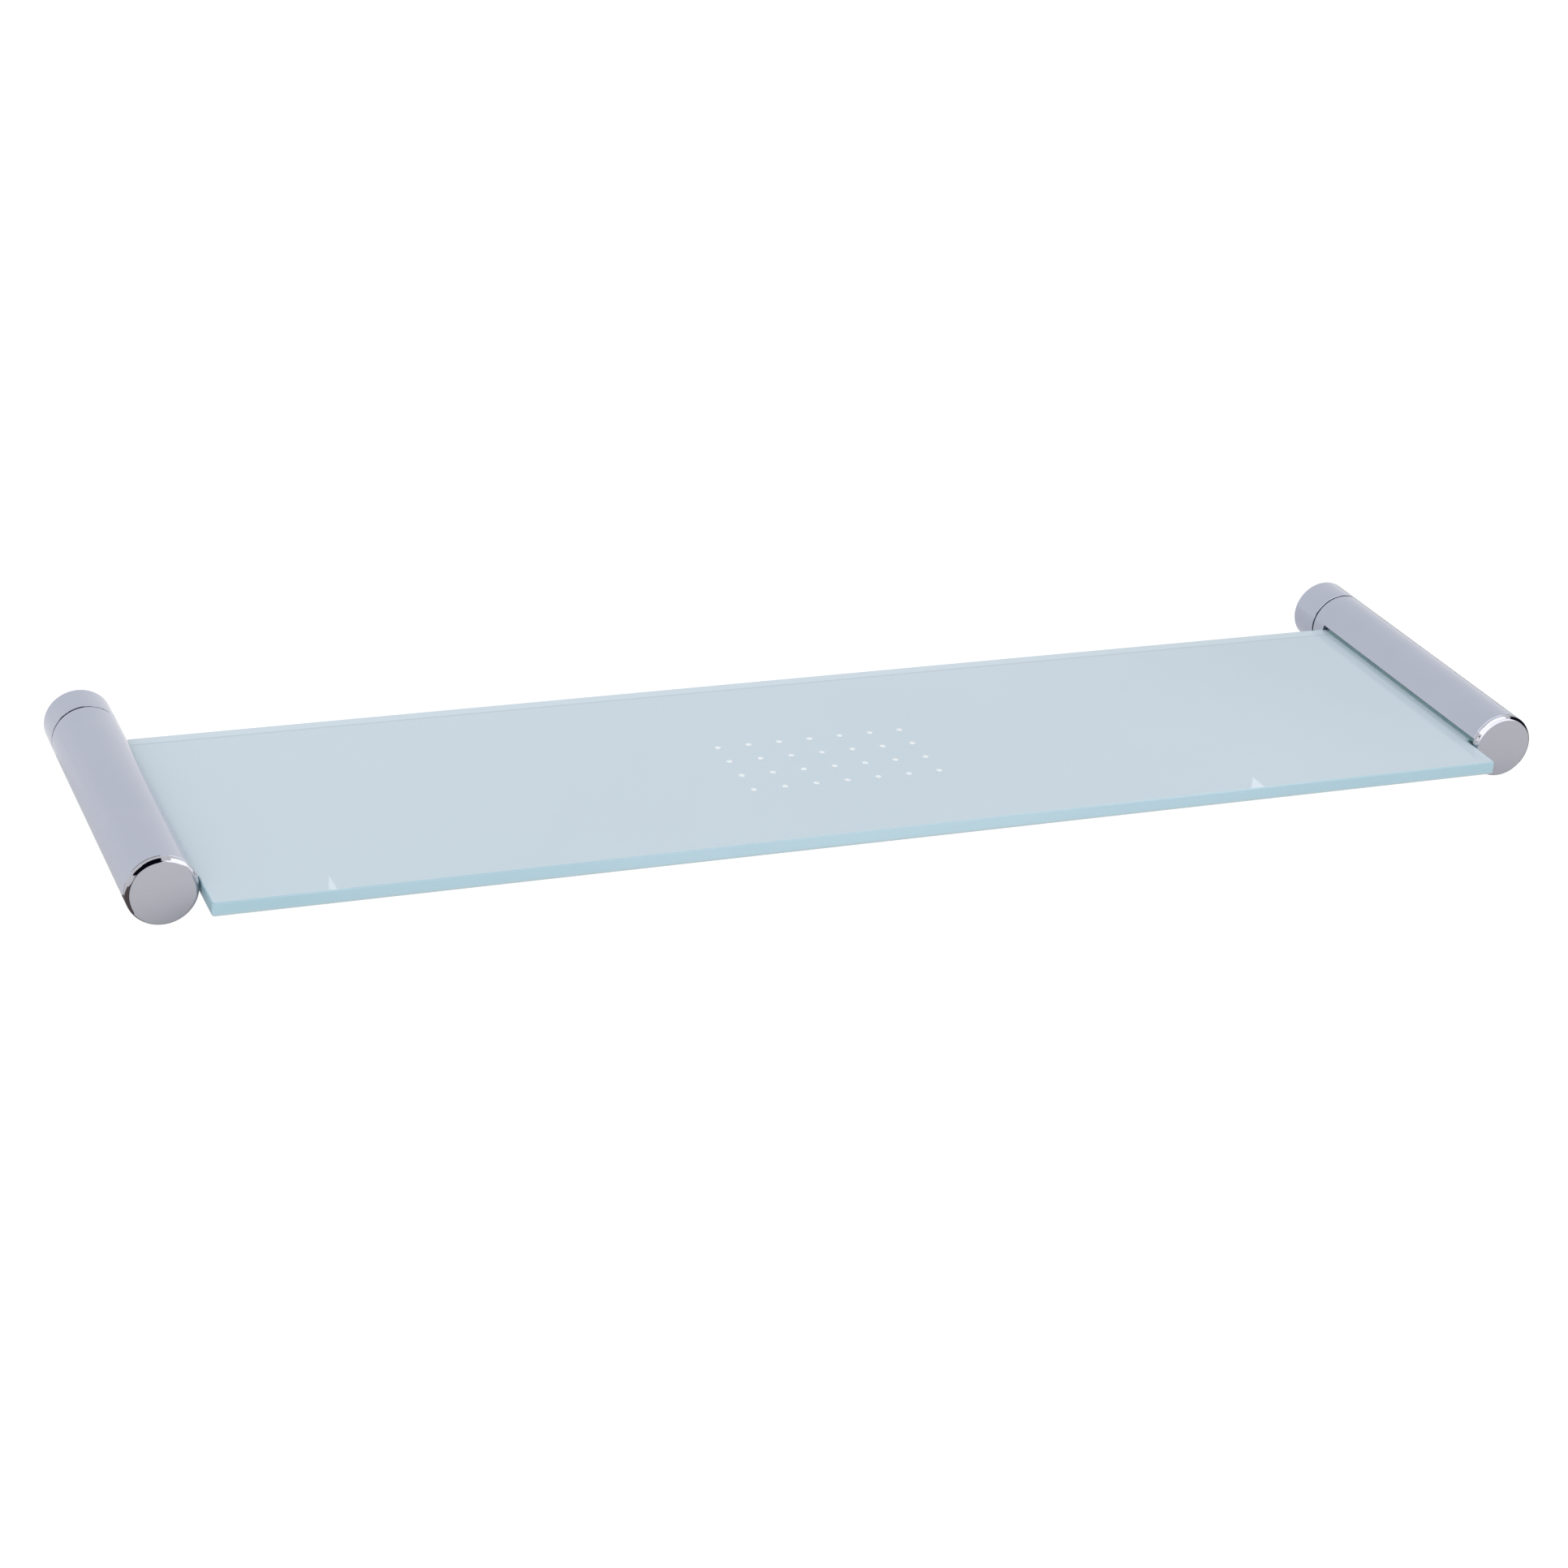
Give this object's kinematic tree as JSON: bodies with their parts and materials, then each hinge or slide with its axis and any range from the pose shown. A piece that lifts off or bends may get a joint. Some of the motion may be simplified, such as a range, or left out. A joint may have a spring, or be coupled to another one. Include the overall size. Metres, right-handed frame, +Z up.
{
  "type": "glass wall shelf with post brackets",
  "caption": "Frosted glass wall shelf held between two round chrome posts, each slotted for the glass and slid over a concealed boss screwed to the wall.",
  "frame": {"origin": "midway between the two wall screw holes, on the wall plane and level with the post axes", "axes": "+Y into the wall, +X to the right seen from the front, +Z up"},
  "size_m": [0.545, 0.1547, 0.025],
  "materials": {
    "frosted_glass": "glossy top, frosted underside, green-blue edges",
    "clear_dots": "soft clear silicone",
    "chrome": "polished",
    "chrome_cap": "polished, turned face",
    "plated_steel": "zinc plated, turned",
    "screw_steel": "machined stainless",
    "black_nylon": "moulded nylon",
    "liner_plastic": "translucent soft PVC"
  },
  "bodies": {
    "wall_mounts": {"left_wall_boss": "plated_steel", "left_wall_collar": "chrome", "left_joint_washer": "black_nylon", "right_wall_boss": "plated_steel", "right_wall_collar": "chrome", "right_joint_washer": "black_nylon"},
    "shelf": {"glass_panel": "frosted_glass", "glass_dots": "clear_dots", "left_post": "chrome", "left_front_cap": "chrome_cap", "left_slot_liner": "liner_plastic", "left_set_screw": "screw_steel", "right_post": "chrome", "right_front_cap": "chrome_cap", "right_slot_liner": "liner_plastic", "right_set_screw": "screw_steel"}
  },
  "joints": [
    {"name": "shelf_pull_off", "type": "slide", "parent": "wall_mounts", "child": "shelf", "axis": [0, -1, 0], "range_m": [0, 0.023]}
  ]
}
